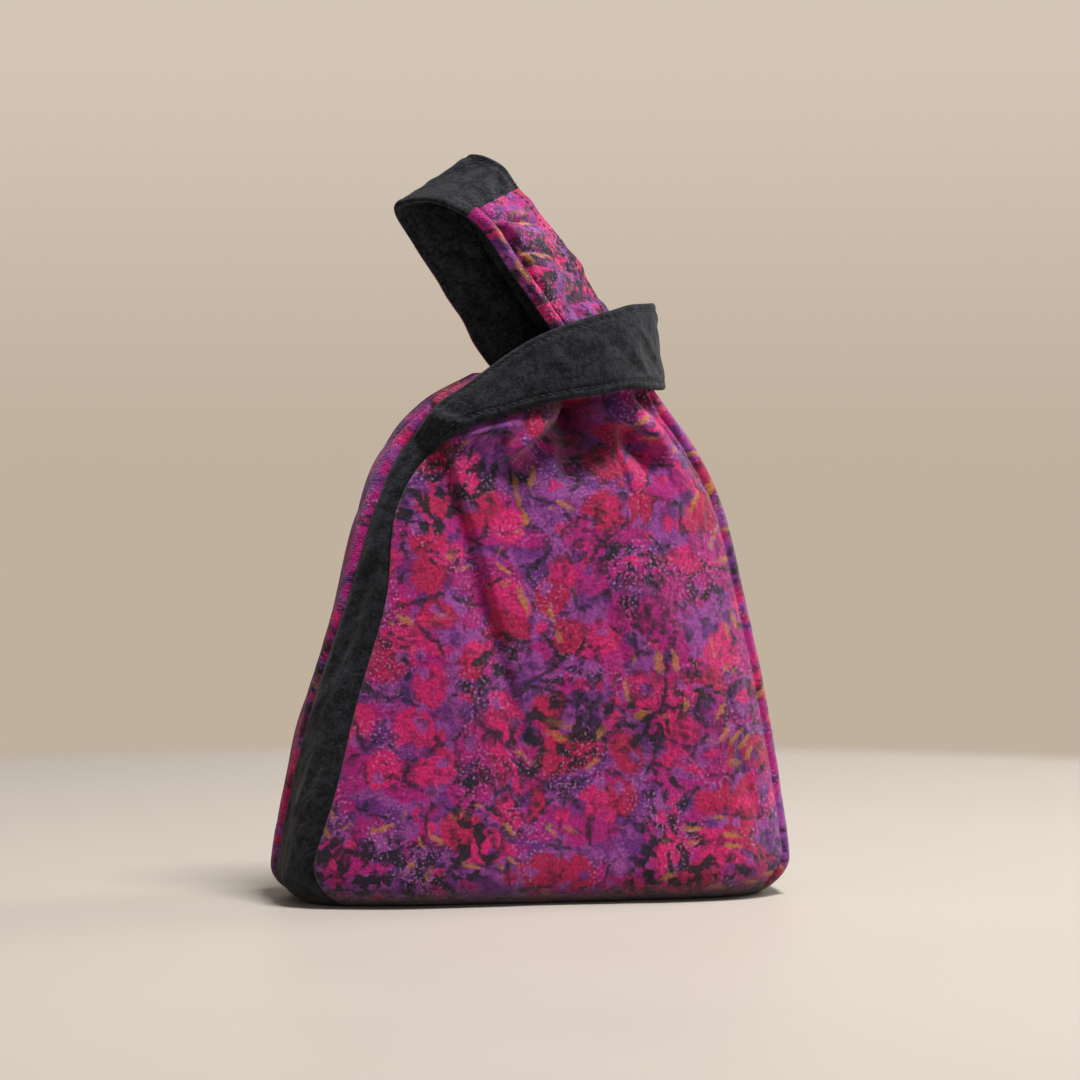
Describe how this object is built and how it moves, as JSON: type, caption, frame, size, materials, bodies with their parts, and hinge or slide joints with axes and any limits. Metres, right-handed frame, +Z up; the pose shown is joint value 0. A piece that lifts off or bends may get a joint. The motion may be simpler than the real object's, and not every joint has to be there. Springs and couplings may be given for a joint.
{
  "type": "knot bag",
  "caption": "Soft lined fabric bag that narrows to a gathered mouth, with a short handle wrapped round the foot of a long handle whose loop stands up to be carried on the wrist.",
  "frame": {"origin": "middle of the underside, on the surface the bag stands on", "axes": "+X to the bag's right as seen in the picture, -Y towards the front, +Z up"},
  "size_m": [0.2539, 0.1038, 0.3706],
  "materials": {
    "printed_cloth": "printed woven cotton in pinks, purples and near-black",
    "dark_cloth": "brushed charcoal cotton",
    "lining_cloth": "plain dark woven lining"
  },
  "bodies": {
    "root": {"front_panel": "printed_cloth", "back_panel": "printed_cloth", "left_gusset": "dark_cloth", "right_gusset": "dark_cloth", "base_panel": "printed_cloth", "lining": "lining_cloth", "short_handle": "dark_cloth", "short_handle_lining": "dark_cloth", "long_handle_front": "printed_cloth", "long_handle_cap": "dark_cloth", "long_handle_back": "printed_cloth", "long_handle_lining": "dark_cloth"}
  },
  "joints": []
}
